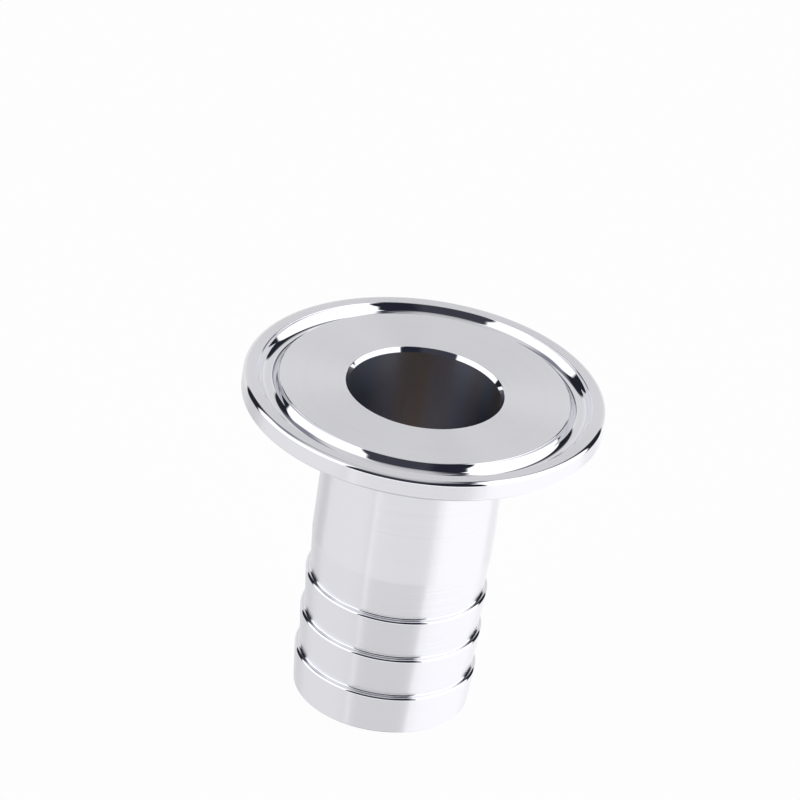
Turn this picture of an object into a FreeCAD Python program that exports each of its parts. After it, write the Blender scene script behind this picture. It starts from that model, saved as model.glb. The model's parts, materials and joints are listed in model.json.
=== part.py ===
import FreeCAD, Part
import math
import os

# Sanitary clamp hose barb: a clamp ferrule and a barbed hose tail turned from one bar.
# Millimetres, +Z up along the axis, origin at the middle of the free end of the hose tail.

# Overall sizes
overall_length = 49.0
bore_diameter = 21.4
stem_diameter = 25.4

# Clamp flange: a rim of even thickness whose back slopes down to the stem
flange_diameter = 50.5
rim_thickness = 2.85
rim_front_rounding = 0.6
rim_back_rounding = 0.4
clamp_taper_angle = 20.0
neck_rounding = 3.0

# Gasket groove in the clamp face, its middle a set distance in from the rim
groove_inset = 3.5
groove_width = 3.0
groove_depth = 1.36
groove_edge_rounding = 0.15

# Groove walls: steep down to a knee, then flared down to the rounded bottom, leaning from the axis
groove_mouth_lean = 18.0
groove_knee_depth = 0.35
groove_knee_rounding = 1.4
groove_wall_lean = 37.0
groove_bottom_rounding = 1.15

# Mouth of the bore in the clamp face: a short cone that leans from the axis
mouth_depth = 0.66
mouth_lean = 30.0
mouth_edge_rounding = 0.1

# Edges of the free end
tail_inner_rounding = 0.3
tail_outer_rounding = 0.25

# Barbs: each one widens away from the free end, then steps in square, facing the flange
barb_count = 3
barb_pitch = 6.3
barb_crest_diameter = 25.8
barb_root_diameter = 24.5
barb_crest_rounding = 0.38
barb_root_rounding = 0.25

# Ends of the barbed length: the cone at the free end, and the taper above the top barb
tail_end_length = 6.1
tail_end_diameter = 24.7
lead_taper_length = 6.0

# Most of a side that the roundings at its two ends may take together
rounding_share = 0.99

# Heights and radii that several corners share
rim_radius = flange_diameter / 2
stem_radius = stem_diameter / 2
bore_radius = bore_diameter / 2
top_shoulder = tail_end_length + (barb_count - 1) * barb_pitch


def section_point(radius, height):
    """Point of the turned section, which is drawn in the plane of X and Z."""
    return FreeCAD.Vector(radius, 0, height)


def tail_corners():
    """Corners of the hose tail down over the barbs to the free end: radius, height, rounding."""
    corners = []
    for barb in range(barb_count):
        shoulder = top_shoulder - barb * barb_pitch
        corners.append((barb_root_diameter / 2, shoulder, barb_root_rounding))
        corners.append((barb_crest_diameter / 2, shoulder, barb_crest_rounding))
    corners.append((tail_end_diameter / 2, 0, tail_outer_rounding))
    return corners


def bore_corners():
    """Corners of the bore from the free end up to its mouth in the clamp face."""
    mouth_radius = bore_radius + mouth_depth * math.tan(math.radians(mouth_lean))
    return [
        (bore_radius, 0, tail_inner_rounding),
        (bore_radius, overall_length - mouth_depth, 0),
        (mouth_radius, overall_length, mouth_edge_rounding),
    ]


def groove_corners():
    """Corners of the gasket groove from its inner edge down and up to its outer edge."""
    middle = rim_radius - groove_inset
    half_mouth = groove_width / 2
    half_knee = half_mouth - groove_knee_depth * math.tan(math.radians(groove_mouth_lean))
    wall_depth = groove_depth - groove_knee_depth
    half_bottom = half_knee - wall_depth * math.tan(math.radians(groove_wall_lean))
    wall = [
        (half_bottom, groove_depth, groove_bottom_rounding),
        (half_knee, groove_knee_depth, groove_knee_rounding),
        (half_mouth, 0, groove_edge_rounding),
    ]
    inner = [(middle - half, overall_length - depth, rounding) for half, depth, rounding in reversed(wall)]
    outer = [(middle + half, overall_length - depth, rounding) for half, depth, rounding in wall]
    return inner + outer


def flange_corners():
    """Corners of the clamp flange from the rim's front round to the neck."""
    rim_back = overall_length - rim_thickness
    neck_drop = (rim_radius - stem_radius) * math.tan(math.radians(clamp_taper_angle))
    return [
        (rim_radius, overall_length, rim_front_rounding),
        (rim_radius, rim_back, rim_back_rounding),
        (stem_radius, rim_back - neck_drop, neck_rounding),
    ]


def tangent_lengths(sides, roundings):
    """Length that each corner's rounding takes of the sides beside it, shrunk where one is short."""
    wanted = [0]
    for before, after, rounding in zip(sides, sides[1:], roundings[1:]):
        wanted.append(rounding * math.tan(before.getAngle(after) / 2))
    wanted.append(0)
    shares = []
    for side, first, last in zip(sides, wanted, wanted[1:]):
        room = rounding_share * side.Length
        shares.append(min(1, room / (first + last)) if first + last else 1)
    lengths = [0]
    for length, before, after in zip(wanted[1:], shares, shares[1:]):
        lengths.append(length * min(before, after))
    return lengths + [0]


def corner_arc(corner, towards, onwards, length):
    """Arc that is tangent to both sides of a corner, starting and ending a length away from it."""
    half_angle = towards.getAngle(onwards) / 2
    size = length / math.tan(half_angle)
    inwards = (onwards - towards).normalize()
    middle = corner + inwards * (size / math.cos(half_angle) - size)
    return Part.Arc(corner - towards * length, middle, corner + onwards * length).toShape()


def rounded_edges(corners):
    """Lines through the corners in order, with a tangent arc at each one that has a rounding."""
    points = [section_point(radius, height) for radius, height, rounding in corners]
    sides = [after - before for before, after in zip(points, points[1:])]
    lengths = tangent_lengths(sides, [rounding for radius, height, rounding in corners])
    directions = [side / side.Length for side in sides]
    edges = []
    for i, onwards in enumerate(directions):
        if lengths[i]:
            edges.append(corner_arc(points[i], directions[i - 1], onwards, lengths[i]))
        start = points[i] + onwards * lengths[i]
        end = points[i + 1] - onwards * lengths[i + 1]
        edges.append(Part.LineSegment(start, end).toShape())
    return edges


def turned_section():
    """The whole section, from the foot of the stem down the tail, up the bore and over the flange."""
    stem_foot = (stem_radius, top_shoulder + lead_taper_length, 0)
    corners = [stem_foot] + tail_corners() + bore_corners()
    corners += groove_corners() + flange_corners() + [stem_foot]
    return Part.Face(Part.Wire(rounded_edges(corners)))


def hose_barb_fitting():
    """The whole fitting, its section turned once round the axis."""
    centre = FreeCAD.Vector(0, 0, 0)
    axis = FreeCAD.Vector(0, 0, 1)
    return turned_section().revolve(centre, axis, math.degrees(2 * math.pi))


os.makedirs("parts", exist_ok=True)
fitting = hose_barb_fitting()
fitting.exportStep("parts/hose_barb_fitting.step")
print("volume mm3", round(fitting.Volume, 1), "valid", fitting.isValid())
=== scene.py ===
import json
import math
from collections import namedtuple

import bpy
import numpy as np
from bpy.props import FloatProperty, FloatVectorProperty, IntProperty, PointerProperty
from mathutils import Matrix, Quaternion, Vector


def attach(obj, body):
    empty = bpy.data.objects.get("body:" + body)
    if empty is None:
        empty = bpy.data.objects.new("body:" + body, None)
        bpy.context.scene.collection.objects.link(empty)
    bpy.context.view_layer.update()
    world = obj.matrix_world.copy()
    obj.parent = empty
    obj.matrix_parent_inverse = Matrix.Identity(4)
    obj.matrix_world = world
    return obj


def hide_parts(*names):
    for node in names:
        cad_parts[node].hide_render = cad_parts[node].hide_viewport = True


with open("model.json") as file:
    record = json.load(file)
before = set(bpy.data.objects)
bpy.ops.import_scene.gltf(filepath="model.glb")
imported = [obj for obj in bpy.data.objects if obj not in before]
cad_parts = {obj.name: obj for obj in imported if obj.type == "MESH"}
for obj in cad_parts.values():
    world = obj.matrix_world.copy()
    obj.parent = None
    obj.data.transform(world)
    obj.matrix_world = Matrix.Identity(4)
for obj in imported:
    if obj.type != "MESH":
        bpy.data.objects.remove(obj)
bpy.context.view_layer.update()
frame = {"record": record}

bl_info = {
    "name": "Sanitary clamp hose barb",
    "version": (1, 0, 0),
    "blender": (4, 5, 0),
    "location": "3D View > Sidebar > Hose barb",
    "description": "A stainless clamp ferrule with a barbed hose tail, and the studio that it stands in",
    "category": "Object",
}

NODE = "hose_barb_fitting"
MM = 0.001
mounts = {mount["name"]: mount for mount in frame["record"]["mounts"]}


def linear(hex_colour):
    """Linear colour of an sRGB hex value."""
    channels = [int(hex_colour[i : i + 2], 16) / 255 for i in (1, 3, 5)]
    return [c / 12.92 if c <= 0.04045 else ((c + 0.055) / 1.055) ** 2.4 for c in channels] + [1]


class FittingSizes(bpy.types.PropertyGroup):
    """Sizes of the turned section, and how finely it is drawn."""

    overall_length: FloatProperty(
        name="Overall length",
        description="From the free end of the hose tail to the clamp face",
        default=mounts["clamp_face"]["pos_m"][2],
        subtype="DISTANCE",
        unit="LENGTH",
    )
    flange_radius: FloatProperty(
        name="Flange radius",
        description="Radius of the clamp flange at its rim",
        default=mounts["ferrule_rim"]["dims"]["r_mm"] * MM,
        subtype="DISTANCE",
        unit="LENGTH",
    )
    bore_radius: FloatProperty(
        name="Bore radius",
        description="Radius of the bore, which runs straight through",
        default=mounts["through_bore"]["dims"]["r_mm"] * MM,
        subtype="DISTANCE",
        unit="LENGTH",
    )
    stem_radius: FloatProperty(
        name="Stem radius",
        description="Radius of the plain stem below the flange",
        default=12.7 * MM,
        subtype="DISTANCE",
        unit="LENGTH",
    )
    rim_thickness: FloatProperty(
        name="Rim thickness",
        description="Thickness of the flange at its rim",
        default=2.85 * MM,
        subtype="DISTANCE",
        unit="LENGTH",
    )
    rim_front_rounding: FloatProperty(
        name="Rim front rounding",
        description="Radius of the rim's corner at the clamp face",
        default=0.6 * MM,
        subtype="DISTANCE",
        unit="LENGTH",
    )
    rim_back_rounding: FloatProperty(
        name="Rim back rounding",
        description="Radius of the rim's corner at the back of the flange",
        default=0.4 * MM,
        subtype="DISTANCE",
        unit="LENGTH",
    )
    clamp_taper: FloatProperty(
        name="Clamp taper",
        description="Slope of the flange's back, on which the clamp wedges",
        default=math.radians(20),
        subtype="ANGLE",
        unit="ROTATION",
    )
    neck_rounding: FloatProperty(
        name="Neck rounding",
        description="Radius where the flange's back runs into the stem",
        default=3.0 * MM,
        subtype="DISTANCE",
        unit="LENGTH",
    )
    groove_inset: FloatProperty(
        name="Groove inset",
        description="From the rim to the middle of the gasket groove",
        default=3.5 * MM,
        subtype="DISTANCE",
        unit="LENGTH",
    )
    groove_width: FloatProperty(
        name="Groove width",
        description="Width of the gasket groove at the clamp face, between its sharp edges",
        default=3.0 * MM,
        subtype="DISTANCE",
        unit="LENGTH",
    )
    groove_depth: FloatProperty(
        name="Groove depth",
        description="Depth of the gasket groove",
        default=1.36 * MM,
        subtype="DISTANCE",
        unit="LENGTH",
    )
    groove_mouth_lean: FloatProperty(
        name="Groove mouth lean",
        description="Lean of the groove's walls from the axis at the clamp face",
        default=math.radians(18),
        subtype="ANGLE",
        unit="ROTATION",
    )
    groove_wall_lean: FloatProperty(
        name="Groove wall lean",
        description="Lean of the groove's walls from the axis below their knee",
        default=math.radians(37),
        subtype="ANGLE",
        unit="ROTATION",
    )
    groove_knee_depth: FloatProperty(
        name="Groove knee depth",
        description="Depth at which the groove's walls change their lean",
        default=0.35 * MM,
        subtype="DISTANCE",
        unit="LENGTH",
    )
    groove_knee_rounding: FloatProperty(
        name="Groove knee rounding",
        description="Radius where the groove's walls change their lean",
        default=1.4 * MM,
        subtype="DISTANCE",
        unit="LENGTH",
    )
    groove_bottom_rounding: FloatProperty(
        name="Groove bottom rounding",
        description="Radius where each wall runs into the groove's bottom",
        default=1.15 * MM,
        subtype="DISTANCE",
        unit="LENGTH",
    )
    groove_edge_rounding: FloatProperty(
        name="Groove edge rounding",
        description="Radius that breaks the groove's two edges",
        default=0.15 * MM,
        subtype="DISTANCE",
        unit="LENGTH",
    )
    mouth_depth: FloatProperty(
        name="Bore mouth depth",
        description="Depth of the lead-in cone at the mouth of the bore",
        default=0.66 * MM,
        subtype="DISTANCE",
        unit="LENGTH",
    )
    mouth_lean: FloatProperty(
        name="Bore mouth lean",
        description="Lean of the lead-in cone from the axis",
        default=math.radians(30),
        subtype="ANGLE",
        unit="ROTATION",
    )
    mouth_edge_rounding: FloatProperty(
        name="Bore mouth edge rounding",
        description="Radius of the mouth's edge at the clamp face",
        default=0.1 * MM,
        subtype="DISTANCE",
        unit="LENGTH",
    )
    tail_inner_rounding: FloatProperty(
        name="Free end inner rounding",
        description="Radius of the bore's edge at the free end",
        default=0.3 * MM,
        subtype="DISTANCE",
        unit="LENGTH",
    )
    tail_outer_rounding: FloatProperty(
        name="Free end outer rounding",
        description="Radius of the free end's outer edge",
        default=0.25 * MM,
        subtype="DISTANCE",
        unit="LENGTH",
    )
    barb_count: IntProperty(
        name="Barbs",
        description="Number of barbs on the hose tail",
        default=3,
        min=1,
    )
    barb_pitch: FloatProperty(
        name="Barb pitch",
        description="From one barb's shoulder to the next",
        default=6.3 * MM,
        subtype="DISTANCE",
        unit="LENGTH",
    )
    barb_crest_radius: FloatProperty(
        name="Barb crest radius",
        description="Radius of each barb at its widest, before its rounding",
        default=12.9 * MM,
        subtype="DISTANCE",
        unit="LENGTH",
    )
    barb_root_radius: FloatProperty(
        name="Barb root radius",
        description="Radius at the foot of each shoulder",
        default=12.25 * MM,
        subtype="DISTANCE",
        unit="LENGTH",
    )
    barb_crest_rounding: FloatProperty(
        name="Barb crest rounding",
        description="Radius of each barb's outer edge",
        default=0.38 * MM,
        subtype="DISTANCE",
        unit="LENGTH",
    )
    barb_root_rounding: FloatProperty(
        name="Barb root rounding",
        description="Radius in the corner at the foot of each shoulder",
        default=0.25 * MM,
        subtype="DISTANCE",
        unit="LENGTH",
    )
    tail_end_length: FloatProperty(
        name="End cone length",
        description="From the free end to the shoulder of the lowest barb",
        default=6.1 * MM,
        subtype="DISTANCE",
        unit="LENGTH",
    )
    tail_end_radius: FloatProperty(
        name="Free end radius",
        description="Outer radius of the free end",
        default=12.35 * MM,
        subtype="DISTANCE",
        unit="LENGTH",
    )
    lead_taper_length: FloatProperty(
        name="Lead taper length",
        description="Length of the taper between the top barb's shoulder and the plain stem",
        default=6.0 * MM,
        subtype="DISTANCE",
        unit="LENGTH",
    )
    steps_around: IntProperty(
        name="Steps around",
        description="Number of faces round the axis",
        default=288,
        min=24,
    )
    longest_step: FloatProperty(
        name="Longest step",
        description="Longest face along a straight stretch of the section",
        default=1.2 * MM,
        subtype="DISTANCE",
        unit="LENGTH",
    )
    widest_turn: FloatProperty(
        name="Widest turn",
        description="Largest angle between two faces on a rounding",
        default=math.radians(7.5),
        subtype="ANGLE",
        unit="ROTATION",
    )


class FittingFinish(bpy.types.PropertyGroup):
    """Colours of the steel, and how rough each finish leaves it."""

    steel_colour: FloatVectorProperty(
        name="Steel",
        description="Colour of the clean steel",
        default=linear("#F3F3F8"),
        size=4,
        subtype="COLOR",
    )
    # Tone of the steel in the low parts of the tool marks: grain, and painted shade in their hollows
    mark_grain_and_shade_colour: FloatVectorProperty(
        name="Tool marks",
        description="Colour of the steel in the bottom of the fine tool marks",
        default=linear("#ECECF2"),
        size=4,
        subtype="COLOR",
    )
    # The bore's steel is drawn darker and bluer than the clean steel: painted shade inside the bore, and a
    # painted bluish reflection
    bore_shade_and_reflection_colour: FloatVectorProperty(
        name="Bore",
        description="Colour of the steel inside the bore, which was left as it was bored",
        default=linear("#A0A7BB"),
        size=4,
        subtype="COLOR",
    )
    # Brownish streaks round the bore, painted reflections of brownish light
    bore_reflection_streak_colour: FloatVectorProperty(
        name="Bore streaks",
        description="Colour of the brownish streaks along the bore",
        default=linear("#AEA39E"),
        size=4,
        subtype="COLOR",
    )
    faced_roughness: FloatProperty(
        name="Clamp face roughness",
        description="Roughness of the flat faces",
        default=0.25,
        min=0,
        max=1,
        subtype="FACTOR",
    )
    turned_roughness: FloatProperty(
        name="Turned roughness",
        description="Roughness of the stem, the cones, the rim's side and the back of the flange",
        default=0.25,
        min=0,
        max=1,
        subtype="FACTOR",
    )
    polished_roughness: FloatProperty(
        name="Polished roughness",
        description="Roughness of the groove, the bore's mouth, the shoulders and the rounded edges",
        default=0.04,
        min=0,
        max=1,
        subtype="FACTOR",
    )
    bored_roughness: FloatProperty(
        name="Bore roughness",
        description="Roughness inside the bore",
        default=0.35,
        min=0,
        max=1,
        subtype="FACTOR",
    )


# Each finish is named for what the lathe or the polish leaves
FINISHES = (
    "faced_stainless_steel",
    "turned_stainless_steel",
    "polished_stainless_steel",
    "bored_stainless_steel",
)
FACED, TURNED, POLISHED, BORED = range(len(FINISHES))

# The marks that each tool leaves round the axis: how far they stretch a highlight across themselves,
# from 0 to 1, how far apart they are, and how deep. Real ones are 0.05 to 0.1 mm apart, which is too
# fine to show in the render, so they are drawn coarser.
Marks = namedtuple("Marks", "stretch spacing depth")
FACING_MARKS = Marks(0.85, 0.3 * MM, 0.0004 * MM)
TURNING_MARKS = Marks(0.9, 0.25 * MM, 0.00015 * MM)
POLISHING_MARKS = Marks(0.0, 0.3 * MM, 0.0001 * MM)
BORING_MARKS = Marks(0.8, 0.4 * MM, 0.001 * MM)

# Layers of finer marks within the marks, and how far the roughness goes up and down over them
MARK_DETAIL = 3
ROUGHNESS_SPREAD = 0.06

# The shader's tangent runs round the axis, and this share of a turn lays its highlights across the marks
QUARTER_TURN = 0.25

# The bore's streaks, which are painted reflections of brownish light: their size round the bore, their
# detail, and the noise below which a streak has its full colour and above which there is none
STREAK_SIZE = 8.9 * MM
STREAK_DETAIL = 1
FULL_STREAK, NO_STREAK = 0.48, 0.6

# An arc has at least this many faces along it
FEWEST_ARC_STEPS = 2

# A corner of the section: its place, its rounding, the finish there and on the side that follows
Corner = namedtuple("Corner", "radius height rounding finish side_finish")

# A stretch of the section: points as radius and height, the angle of the normal at each, and the finish
Stretch = namedtuple("Stretch", "points normals finish")


def arc_stretch(centre, size, first, last, hollow, finish, sizes):
    """Arc whose normals turn from one angle to another, bulging outwards or, where hollow, inwards."""
    count = max(FEWEST_ARC_STEPS, math.ceil(abs(last - first) / sizes.widest_turn))
    normals = [first + (last - first) * i / count for i in range(count + 1)]
    side = -size if hollow else size
    points = [(centre[0] + side * math.cos(a), centre[1] + side * math.sin(a)) for a in normals]
    return Stretch(points, normals, finish)


def side_stretch(start, end, finish, sizes):
    """Straight side of the section, in steps that are short enough."""
    across, up = end[0] - start[0], end[1] - start[1]
    count = math.ceil(math.hypot(across, up) / sizes.longest_step)
    points = [(start[0] + across * i / count, start[1] + up * i / count) for i in range(count + 1)]
    normal = math.atan2(across, -up)
    return Stretch(points, [normal] * (count + 1), finish)


def rounded_stretches(corners, sizes):
    """Straight sides through the corners, with a tangent arc at each corner that has a rounding."""
    stretches = []
    start = (corners[0].radius, corners[0].height)
    for i, corner in enumerate(corners[1:], 1):
        before = corners[i - 1]
        here = (corner.radius, corner.height)
        towards = math.atan2(here[1] - before.height, here[0] - before.radius)
        if i == len(corners) - 1 or not corner.rounding:
            stretches.append(side_stretch(start, here, before.side_finish, sizes))
            start = here
            continue
        after = corners[i + 1]
        onwards = math.atan2(after.height - here[1], after.radius - here[0])
        turn = math.remainder(onwards - towards, 2 * math.pi)
        length = corner.rounding * math.tan(abs(turn) / 2)
        arc_start = (here[0] - length * math.cos(towards), here[1] - length * math.sin(towards))
        hollow = turn > 0
        first = towards + math.pi / 2
        side = corner.rounding if hollow else -corner.rounding
        centre = (arc_start[0] + side * math.cos(first), arc_start[1] + side * math.sin(first))
        stretches.append(side_stretch(start, arc_start, before.side_finish, sizes))
        arc = arc_stretch(centre, corner.rounding, first, first + turn, hollow, corner.finish, sizes)
        stretches.append(arc)
        start = arc.points[-1]
    return stretches


def tail_corners(sizes):
    """Corners of the hose tail down over the barbs to the free end."""
    corners = []
    for barb in reversed(range(sizes.barb_count)):
        shoulder = sizes.tail_end_length + barb * sizes.barb_pitch
        root = Corner(sizes.barb_root_radius, shoulder, sizes.barb_root_rounding, POLISHED, POLISHED)
        crest = Corner(sizes.barb_crest_radius, shoulder, sizes.barb_crest_rounding, POLISHED, TURNED)
        corners += [root, crest]
    corners.append(Corner(sizes.tail_end_radius, 0, sizes.tail_outer_rounding, POLISHED, FACED))
    return corners


def bore_corners(sizes):
    """Corners of the bore from the free end up to its mouth in the clamp face."""
    bore, top = sizes.bore_radius, sizes.overall_length
    mouth = bore + sizes.mouth_depth * math.tan(sizes.mouth_lean)
    return [
        Corner(bore, 0, sizes.tail_inner_rounding, POLISHED, BORED),
        Corner(bore, top - sizes.mouth_depth, 0, POLISHED, POLISHED),
        Corner(mouth, top, sizes.mouth_edge_rounding, POLISHED, FACED),
    ]


def groove_corners(sizes):
    """Corners of the gasket groove from its inner edge down and up to its outer edge."""
    top = sizes.overall_length
    middle = sizes.flange_radius - sizes.groove_inset
    half_mouth = sizes.groove_width / 2
    half_knee = half_mouth - sizes.groove_knee_depth * math.tan(sizes.groove_mouth_lean)
    wall_depth = sizes.groove_depth - sizes.groove_knee_depth
    half_bottom = half_knee - wall_depth * math.tan(sizes.groove_wall_lean)
    wall = [
        (half_bottom, sizes.groove_depth, sizes.groove_bottom_rounding),
        (half_knee, sizes.groove_knee_depth, sizes.groove_knee_rounding),
        (half_mouth, 0, sizes.groove_edge_rounding),
    ]
    inner = [(-half, depth, rounding) for half, depth, rounding in reversed(wall)]
    corners = [
        Corner(middle + side, top - depth, rounding, POLISHED, POLISHED)
        for side, depth, rounding in inner + wall
    ]
    return corners[:-1] + [corners[-1]._replace(side_finish=FACED)]


def flange_corners(sizes):
    """Corners of the clamp flange from the rim's front round to the neck."""
    rim, stem, top = sizes.flange_radius, sizes.stem_radius, sizes.overall_length
    rim_back = top - sizes.rim_thickness
    neck = rim_back - (rim - stem) * math.tan(sizes.clamp_taper)
    return [
        Corner(rim, top, sizes.rim_front_rounding, POLISHED, TURNED),
        Corner(rim, rim_back, sizes.rim_back_rounding, POLISHED, TURNED),
        Corner(stem, neck, sizes.neck_rounding, TURNED, TURNED),
    ]


def section_corners(sizes):
    """The closed section, from the foot of the stem down the tail, up the bore and over the flange."""
    top_shoulder = sizes.tail_end_length + (sizes.barb_count - 1) * sizes.barb_pitch
    stem_foot = Corner(sizes.stem_radius, top_shoulder + sizes.lead_taper_length, 0, TURNED, TURNED)
    corners = [stem_foot] + tail_corners(sizes) + bore_corners(sizes)
    return corners + groove_corners(sizes) + flange_corners(sizes) + [stem_foot]


def turned_mesh(name, sizes):
    """Mesh of the section turned round the axis, with the true normals of its arcs and cones."""
    rings, bands = [], []
    for stretch in rounded_stretches(section_corners(sizes), sizes):
        for i, point in enumerate(stretch.points[:-1]):
            rings.append(point)
            bands.append((stretch.normals[i], stretch.normals[i + 1], stretch.finish))
    count, around = len(rings), sizes.steps_around
    angles = np.arange(around) * (2 * math.pi / around)
    cos, sin = np.cos(angles), np.sin(angles)
    radius, height = np.array(rings).T
    places = np.empty((count, around, 3))
    places[..., 0] = radius[:, None] * cos
    places[..., 1] = radius[:, None] * sin
    places[..., 2] = height[:, None]
    ring = np.arange(count)[:, None]
    step = np.arange(around)[None, :]
    after_ring, after_step = (ring + 1) % count, (step + 1) % around
    corners = [ring * around + step, after_ring * around + step, after_ring * around + after_step]
    corners.append(ring * around + after_step)
    faces = np.stack(corners, axis=-1).reshape(-1, 4)
    mesh = bpy.data.meshes.new(name)
    mesh.from_pydata(places.reshape(-1, 3).tolist(), [], faces.tolist())
    first, last, finish = (np.array(column) for column in zip(*bands))
    normals = np.empty((count, around, 4, 3))
    for corner, (lean, turned) in enumerate(((first, 0), (last, 0), (last, 1), (first, 1))):
        normals[..., corner, 0] = np.cos(lean)[:, None] * np.roll(cos, -turned)
        normals[..., corner, 1] = np.cos(lean)[:, None] * np.roll(sin, -turned)
        normals[..., corner, 2] = np.sin(lean)[:, None]
    mesh.polygons.foreach_set("use_smooth", np.ones(len(faces), dtype=bool))
    mesh.polygons.foreach_set("material_index", np.repeat(finish, around))
    mesh.normals_split_custom_set(normals.reshape(-1, 3).tolist())
    mesh.update()
    return mesh


# Sockets of a Mix node that mixes colours, by number, because its other sockets share their names
MIX_A, MIX_B, MIX_RESULT = 6, 7, 2
WHITE = linear("#FFFFFF")


def add_node(tree, kind, inputs=(), **settings):
    """A node with its settings; each input is a value or another node's output."""
    node = tree.nodes.new(kind)
    for name, value in settings.items():
        setattr(node, name, value)
    for socket, value in dict(inputs).items():
        if isinstance(value, bpy.types.NodeSocket):
            tree.links.new(value, node.inputs[socket])
        else:
            node.inputs[socket].default_value = value
    return node


def place_round_axis(tree):
    """Where a point of the surface is: its direction from the axis, and its radius and height."""
    place = add_node(tree, "ShaderNodeTexCoord").outputs["Object"]
    split = add_node(tree, "ShaderNodeSeparateXYZ", {0: place})
    flat = add_node(tree, "ShaderNodeCombineXYZ", {0: split.outputs[0], 1: split.outputs[1]})
    direction = add_node(tree, "ShaderNodeVectorMath", {0: flat.outputs[0]}, operation="NORMALIZE")
    radius = add_node(tree, "ShaderNodeVectorMath", {0: flat.outputs[0]}, operation="LENGTH")
    ring = add_node(tree, "ShaderNodeCombineXYZ", {0: radius.outputs["Value"], 1: split.outputs[2]})
    return direction.outputs[0], ring.outputs[0]


def steel_material(name, surface, roughness, tool_marks):
    """Steel of a colour made by surface, with tool marks round the axis."""
    material = bpy.data.materials.new(name)
    material.use_nodes = True
    tree = material.node_tree
    tree.nodes.clear()
    direction, ring = place_round_axis(tree)
    noise = add_node(
        tree,
        "ShaderNodeTexNoise",
        {"Vector": ring, "Scale": 1 / tool_marks.spacing, "Detail": MARK_DETAIL},
    )
    marks = noise.outputs[0]
    worn = add_node(
        tree,
        "ShaderNodeMapRange",
        {
            "Value": marks,
            "To Min": (1 + ROUGHNESS_SPREAD) * roughness,
            "To Max": (1 - ROUGHNESS_SPREAD) * roughness,
        },
    )
    bump = add_node(tree, "ShaderNodeBump", {"Height": marks, "Strength": 1, "Distance": tool_marks.depth})
    tangent = add_node(tree, "ShaderNodeTangent", direction_type="RADIAL", axis="Z")
    shader = add_node(
        tree,
        "ShaderNodeBsdfPrincipled",
        {
            "Base Color": surface(tree, direction, marks),
            "Metallic": 1,
            "Roughness": worn.outputs[0],
            "Anisotropic": tool_marks.stretch,
            "Anisotropic Rotation": QUARTER_TURN,
            "Normal": bump.outputs[0],
            "Tangent": tangent.outputs[0],
        },
    )
    add_node(tree, "ShaderNodeOutputMaterial", {"Surface": shader.outputs[0]})
    return material


def finishes(finish, sizes):
    """The four finishes, in the order of FINISHES."""

    def clean_steel(tree, direction, marks):
        """Clean steel, a shade darker in the bottom of the marks: grain, and painted shade in their hollows.
        """
        shades = {"Factor": marks, MIX_A: finish.mark_grain_and_shade_colour, MIX_B: finish.steel_colour}
        return add_node(tree, "ShaderNodeMix", shades, data_type="RGBA").outputs[MIX_RESULT]

    def streaked_steel(tree, direction, marks):
        """Steel whose colour changes in broad streaks round the bore: painted reflections of brownish light
        over its dark, bluish painted shade and reflection.
        """
        scale = sizes.bore_radius / STREAK_SIZE
        noise = add_node(
            tree, "ShaderNodeTexNoise", {"Vector": direction, "Scale": scale, "Detail": STREAK_DETAIL}
        )
        clean = add_node(
            tree,
            "ShaderNodeMapRange",
            {"Value": noise.outputs[0], "From Min": FULL_STREAK, "From Max": NO_STREAK},
        )
        shades = {"Factor": clean.outputs[0], MIX_A: finish.bore_reflection_streak_colour, MIX_B: finish.bore_shade_and_reflection_colour}
        return add_node(tree, "ShaderNodeMix", shades, data_type="RGBA").outputs[MIX_RESULT]

    return [
        # Stainless steel faced on the lathe: its fine rings make a soft mirror, blurred across them
        steel_material(FINISHES[FACED], clean_steel, finish.faced_roughness, FACING_MARKS),
        # Stainless steel turned on the lathe: its rings draw each reflection out along the axis
        steel_material(FINISHES[TURNED], clean_steel, finish.turned_roughness, TURNING_MARKS),
        # Polished stainless steel: hardly a mark is left, so it mirrors the studio with sharp edges
        steel_material(FINISHES[POLISHED], clean_steel, finish.polished_roughness, POLISHING_MARKS),
        # Stainless steel left as bored: duller and coarser, drawn dark and bluish as painted shade and
        # painted reflection inside the bore, with brownish streaks of painted reflection
        steel_material(FINISHES[BORED], streaked_steel, finish.bored_roughness, BORING_MARKS),
    ]


class FITTING_OT_turn_hose_barb(bpy.types.Operator):
    """Turn the fitting from its section and give each stretch its finish"""

    bl_idname = "fitting.turn_hose_barb"
    bl_label = "Turn the hose barb"

    def execute(self, context):
        sizes = context.scene.fitting_sizes
        piece = bpy.data.objects.new("hose_barb", turned_mesh("hose_barb", sizes))
        for material in finishes(context.scene.fitting_finish, sizes):
            piece.data.materials.append(material)
        context.scene.collection.objects.link(piece)
        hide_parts(NODE)
        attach(piece, "root")
        return {"FINISHED"}


# What the part sees of the studio, as directions from it. A border is a measure of the direction in
# degrees, where the card hasn't begun, and where it is full: azimuth is measured from the front towards
# +X, spread is the azimuth without its sign, rise is the elevation, top is the elevation measured from a
# line that is highest at the sides and dips away from them, and back is the angle from the middle of the
# backdrop.
Border = namedtuple("Border", "measure outside inside")
Card = namedtuple("Card", "hex_colour brightness borders")

# Shape of that line: how fast it dips, in degrees for each square degree, and the azimuth of its top
TOP_DIP = 0.0055
TOP_MIDDLE = 108

# Azimuth and rise of the middle of the backdrop, which stands behind the part
BACKDROP_MIDDLE = (math.radians(-175), math.radians(-6))

# Borders that several cards share: of the dark gap between the two softboxes, of the softboxes' dark
# frames, and of the backdrop
GAP_LEFT = Border("azimuth", -41, -37)
GAP_RIGHT = Border("azimuth", 46, 42)
GAP_TOP = Border("rise", 50, 45)
GAP_BOTTOM = Border("rise", -20, -12)
FRAME_BOTTOM = Border("top", 71, 74)
BACKDROP_EDGE = Border("back", 62, 59)

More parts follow.
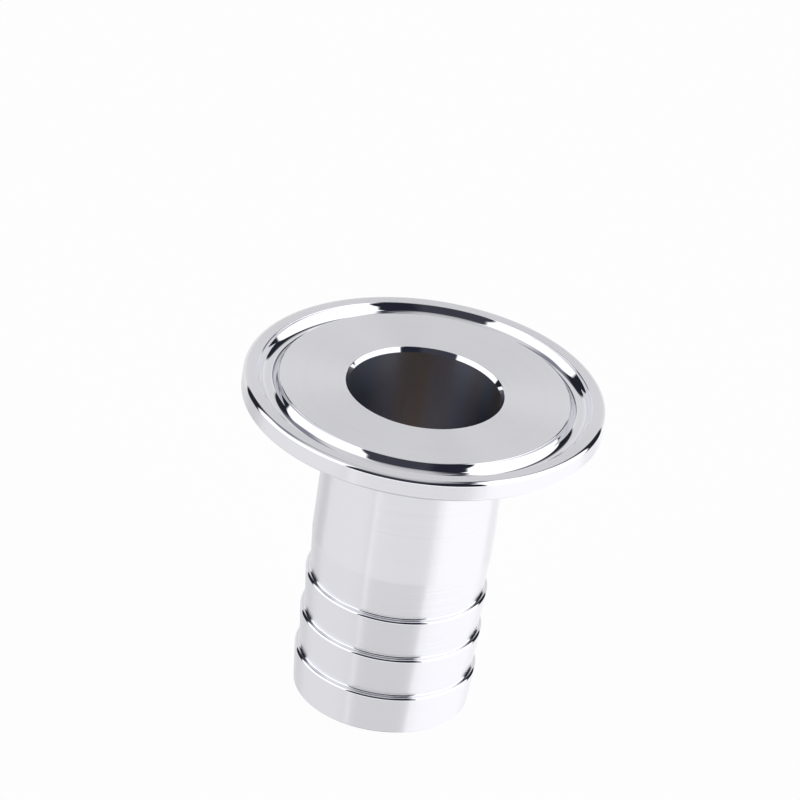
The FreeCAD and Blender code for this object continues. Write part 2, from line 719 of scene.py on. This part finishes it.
# The ceiling is behind all the cards, and each card covers the ones before it
CEILING = Card("#FFFFFF", 0.60, ())
CARDS = (
    # Upper walls
    Card("#FFFFFF", 0.70, (Border("rise", 80, 62),)),
    # Pale room below them
    Card("#FFFFFF", 0.92, (Border("rise", 30, -20),)),
    # Frame of the right softbox
    Card("#4E505A", 0.90, (Border("azimuth", 44, 52), FRAME_BOTTOM, Border("top", 87, 77))),
    # Right softbox
    Card("#FFFFFF", 1.30, (Border("azimuth", 41, 44), Border("top", 74, 70))),
    # Left softbox
    Card("#FFFFFF", 1.25, (Border("azimuth", -36, -39), Border("rise", 56, 42))),
    # Backdrop
    Card("#FFFFFF", 0.74, (BACKDROP_EDGE,)),
    # Brighter lower part of the backdrop
    Card("#FFFFFF", 0.87, (BACKDROP_EDGE, Border("rise", 32, 8))),
    # Floor at the left
    Card("#FFFFFF", 0.81, (Border("azimuth", -36, -40), Border("rise", -4, -24))),
    # Floor at the right
    Card("#FFFFFF", 1.12, (Border("azimuth", 40, 43), Border("rise", 0, -20))),
    # Dark ring round the backdrop, which fades straight behind the part
    Card(
        "#23252D",
        1.00,
        (
            Border("back", 65.5, 62.5),
            Border("back", 43.5, 47),
            Border("rise", -29, -11),
            Border("spread", 186, 150),
        ),
    ),
    # Grey band above that ring, behind at the left
    Card(
        "#868892",
        1.00,
        (
            Border("azimuth", -85, -116),
            Border("azimuth", -178, -160),
            Border("rise", 38, 46),
            Border("rise", 60, 51),
        ),
    ),
    # Dull ceiling over the gap
    Card("#FFFFFF", 0.40, (GAP_LEFT, GAP_RIGHT, Border("rise", 84, 50))),
    # Frame over the right part of the gap
    Card(
        "#2C2E38",
        0.90,
        (
            Border("azimuth", -6, 26),
            Border("azimuth", 62, 48),
            FRAME_BOTTOM,
            Border("top", 112, 78),
        ),
    ),
    # Bright floor in front
    Card("#FFFFFF", 1.38, (Border("azimuth", -42, -38), Border("azimuth", 47, 43), Border("rise", 0, -10))),
    # Duller floor in front, nearer the part
    Card("#FFFFFF", 0.61, (GAP_LEFT, GAP_RIGHT, Border("rise", -27, -42))),
    # Dark gap between the softboxes
    Card("#3E3F48", 1.00, (GAP_LEFT, GAP_RIGHT, GAP_TOP, GAP_BOTTOM)),
    # Darker right part of the gap
    Card("#252833", 1.00, (Border("azimuth", 8, 20), GAP_RIGHT, GAP_TOP, GAP_BOTTOM)),
    # Black foot of the gap
    Card("#0C0C10", 1.00, (GAP_LEFT, GAP_RIGHT, Border("rise", 8, 0), GAP_BOTTOM)),
    # Floor under the part
    Card("#FFFFFF", 0.54, (Border("rise", -48, -80),)),
)


def direction_measures(tree):
    """The measures of a direction that the borders use."""
    way = add_node(tree, "ShaderNodeTexCoord").outputs["Generated"]
    split = add_node(tree, "ShaderNodeSeparateXYZ", {0: way})
    front = add_node(tree, "ShaderNodeMath", {0: split.outputs[1], 1: -1}, operation="MULTIPLY")
    turn = add_node(tree, "ShaderNodeMath", {0: split.outputs[0], 1: front.outputs[0]}, operation="ARCTAN2")
    azimuth = add_node(tree, "ShaderNodeMath", {0: turn.outputs[0]}, operation="DEGREES")
    lift = add_node(tree, "ShaderNodeMath", {0: split.outputs[2]}, operation="ARCSINE")
    rise = add_node(tree, "ShaderNodeMath", {0: lift.outputs[0]}, operation="DEGREES")
    spread = add_node(tree, "ShaderNodeMath", {0: azimuth.outputs[0]}, operation="ABSOLUTE")
    off_side = add_node(tree, "ShaderNodeMath", {0: spread.outputs[0], 1: TOP_MIDDLE}, operation="SUBTRACT")
    square = add_node(tree, "ShaderNodeMath", {0: off_side.outputs[0], 1: 2}, operation="POWER")
    top = add_node(
        tree,
        "ShaderNodeMath",
        {0: square.outputs[0], 1: TOP_DIP, 2: rise.outputs[0]},
        operation="MULTIPLY_ADD",
    )
    azimuth_back, rise_back = BACKDROP_MIDDLE
    middle = (
        math.sin(azimuth_back) * math.cos(rise_back),
        -math.cos(azimuth_back) * math.cos(rise_back),
        math.sin(rise_back),
    )
    along = add_node(tree, "ShaderNodeVectorMath", {0: way, 1: middle}, operation="DOT_PRODUCT")
    apart = add_node(tree, "ShaderNodeMath", {0: along.outputs["Value"]}, operation="ARCCOSINE")
    back = add_node(tree, "ShaderNodeMath", {0: apart.outputs[0]}, operation="DEGREES")
    measures = {"azimuth": azimuth, "rise": rise, "spread": spread, "top": top, "back": back}
    return {name: node.outputs[0] for name, node in measures.items()}


def card_colour(card):
    """Linear colour of a card at its brightness."""
    return [card.brightness * channel for channel in linear(card.hex_colour)[:3]] + [1]


def studio_world(world):
    """World brightness by direction: a pale room with brighter and darker cards, and white to the camera."""
    world.use_nodes = True
    tree = world.node_tree
    tree.nodes.clear()
    measures = direction_measures(tree)
    seen = card_colour(CEILING)
    for card in CARDS:
        mask = 1
        for border in card.borders:
            inside = add_node(
                tree,
                "ShaderNodeMapRange",
                {"Value": measures[border.measure], "From Min": border.outside, "From Max": border.inside},
                interpolation_type="SMOOTHSTEP",
            )
            both = add_node(tree, "ShaderNodeMath", {0: inside.outputs[0], 1: mask}, operation="MULTIPLY")
            mask = both.outputs[0]
        covered = add_node(
            tree, "ShaderNodeMix", {"Factor": mask, MIX_A: seen, MIX_B: card_colour(card)}, data_type="RGBA"
        )
        seen = covered.outputs[MIX_RESULT]
    rays = add_node(tree, "ShaderNodeLightPath")
    shown = add_node(
        tree,
        "ShaderNodeMix",
        {"Factor": rays.outputs["Is Camera Ray"], MIX_A: seen, MIX_B: WHITE},
        data_type="RGBA",
    )
    background = add_node(tree, "ShaderNodeBackground", {"Color": shown.outputs[MIX_RESULT], "Strength": 1})
    add_node(tree, "ShaderNodeOutputWorld", {"Surface": background.outputs[0]})


# Share of the floor's brightness that is plain white, while the rest is lit and takes the part's shadow
WHITE_SHARE = 0.96


def white_floor_material():
    """White lacquered board, even and bright, so it looks pure white with a faint shadow of the part."""
    material = bpy.data.materials.new("white_lacquered_board")
    material.use_nodes = True
    tree = material.node_tree
    tree.nodes.clear()
    rays = add_node(tree, "ShaderNodeLightPath")
    seen = add_node(
        tree,
        "ShaderNodeMath",
        {0: rays.outputs["Is Camera Ray"], 1: rays.outputs["Is Glossy Ray"]},
        operation="MAXIMUM",
    )
    share = add_node(tree, "ShaderNodeMath", {0: seen.outputs[0], 1: WHITE_SHARE}, operation="MULTIPLY")
    board = add_node(tree, "ShaderNodeBsdfDiffuse", {"Color": linear("#FAFAFA")})
    white = add_node(tree, "ShaderNodeEmission", {"Color": WHITE, "Strength": 1})
    mixed = add_node(
        tree, "ShaderNodeMixShader", {0: share.outputs[0], 1: board.outputs[0], 2: white.outputs[0]}
    )
    add_node(tree, "ShaderNodeOutputMaterial", {"Surface": mixed.outputs[0]})
    return material


# Width of the camera's sensor in millimetres
SENSOR_WIDTH = 36


class StudioSettings(bpy.types.PropertyGroup):
    """Where the camera stands, and how large the floor is."""

    camera_distance: FloatProperty(
        name="Camera distance",
        description="From the camera to the middle of the clamp face",
        default=0.9891,
        subtype="DISTANCE",
        unit="LENGTH",
    )
    camera_elevation: FloatProperty(
        name="Camera elevation",
        description="Height of the camera above the clamp face, as an angle",
        default=math.radians(29.842),
        subtype="ANGLE",
        unit="ROTATION",
    )
    camera_roll: FloatProperty(
        name="Camera roll",
        description="Turn of the camera about its own axis, its right side raised",
        default=math.radians(8.517),
        subtype="ANGLE",
        unit="ROTATION",
    )
    aim_left: FloatProperty(
        name="Aim left of the axis",
        description="How far left of the axis the camera looks, where its line of sight passes the axis",
        default=3.19 * MM,
        subtype="DISTANCE",
        unit="LENGTH",
    )
    aim_drop: FloatProperty(
        name="Aim below the clamp face",
        description="How far below the clamp face the camera looks, where its line of sight passes the axis",
        default=2.584 * MM,
        subtype="DISTANCE",
        unit="LENGTH",
    )
    focal_length: FloatProperty(
        name="Focal length",
        description="Focal length in millimetres on a sensor 36 mm wide",
        default=322.76,
        subtype="DISTANCE_CAMERA",
        unit="CAMERA",
    )
    floor_size: FloatProperty(
        name="Floor size",
        description="Side of the square floor",
        default=3.0,
        subtype="DISTANCE",
        unit="LENGTH",
    )


class FITTING_OT_set_studio(bpy.types.Operator):
    """Lay the white floor, set the light round it and place the camera"""

    bl_idname = "fitting.set_studio"
    bl_label = "Set the studio"

    def execute(self, context):
        scene = context.scene
        studio = scene.fitting_studio
        half = studio.floor_size / 2
        corners = [(-half, -half, 0), (half, -half, 0), (half, half, 0), (-half, half, 0)]
        mesh = bpy.data.meshes.new("floor")
        mesh.from_pydata(corners, [], [(0, 1, 2, 3)])
        mesh.materials.append(white_floor_material())
        floor = bpy.data.objects.new("floor", mesh)
        scene.collection.objects.link(floor)
        # The steel mirrors the floor of the cards, which is shaded, and not this even one
        floor.visible_glossy = False
        scene.world = bpy.data.worlds.new("studio")
        studio_world(scene.world)
        face = Vector((0, 0, scene.fitting_sizes.overall_length))
        rise = studio.camera_elevation
        camera = bpy.data.objects.new("camera", bpy.data.cameras.new("camera"))
        camera.data.sensor_width = SENSOR_WIDTH
        camera.data.lens = studio.focal_length
        camera.location = face + studio.camera_distance * Vector((0, -math.cos(rise), math.sin(rise)))
        aim = face - Vector((studio.aim_left, 0, studio.aim_drop))
        camera.rotation_mode = "QUATERNION"
        level = (aim - camera.location).to_track_quat("-Z", "Y")
        camera.rotation_quaternion = level @ Quaternion((0, 0, 1), studio.camera_roll)
        scene.collection.objects.link(camera)
        scene.camera = camera
        scene.view_settings.view_transform = "Standard"
        return {"FINISHED"}


class FITTING_PT_panel(bpy.types.Panel):
    """Panel that turns the fitting and sets its studio"""

    bl_idname = "FITTING_PT_panel"
    bl_label = "Hose barb"
    bl_space_type = "VIEW_3D"
    bl_region_type = "UI"
    bl_category = "Hose barb"

    def draw(self, context):
        scene = context.scene
        for operator, groups in (
            (FITTING_OT_turn_hose_barb, (scene.fitting_sizes, scene.fitting_finish)),
            (FITTING_OT_set_studio, (scene.fitting_studio,)),
        ):
            column = self.layout.column()
            for settings in groups:
                for name in settings.__annotations__:
                    column.prop(settings, name)
            column.operator(operator.bl_idname)


CLASSES = (
    FittingSizes,
    FittingFinish,
    StudioSettings,
    FITTING_OT_turn_hose_barb,
    FITTING_OT_set_studio,
    FITTING_PT_panel,
)


def register():
    """Register the classes, and hang their settings on the scene."""
    for one in CLASSES:
        bpy.utils.register_class(one)
    bpy.types.Scene.fitting_sizes = PointerProperty(type=FittingSizes)
    bpy.types.Scene.fitting_finish = PointerProperty(type=FittingFinish)
    bpy.types.Scene.fitting_studio = PointerProperty(type=StudioSettings)


def unregister():
    """Take the settings off the scene, and the classes out."""
    del bpy.types.Scene.fitting_studio
    del bpy.types.Scene.fitting_finish
    del bpy.types.Scene.fitting_sizes
    for one in reversed(CLASSES):
        bpy.utils.unregister_class(one)


def main():
    """Make the part and its studio."""
    register()
    bpy.ops.fitting.turn_hose_barb()
    bpy.ops.fitting.set_studio()


if __name__ == "__main__":
    main()
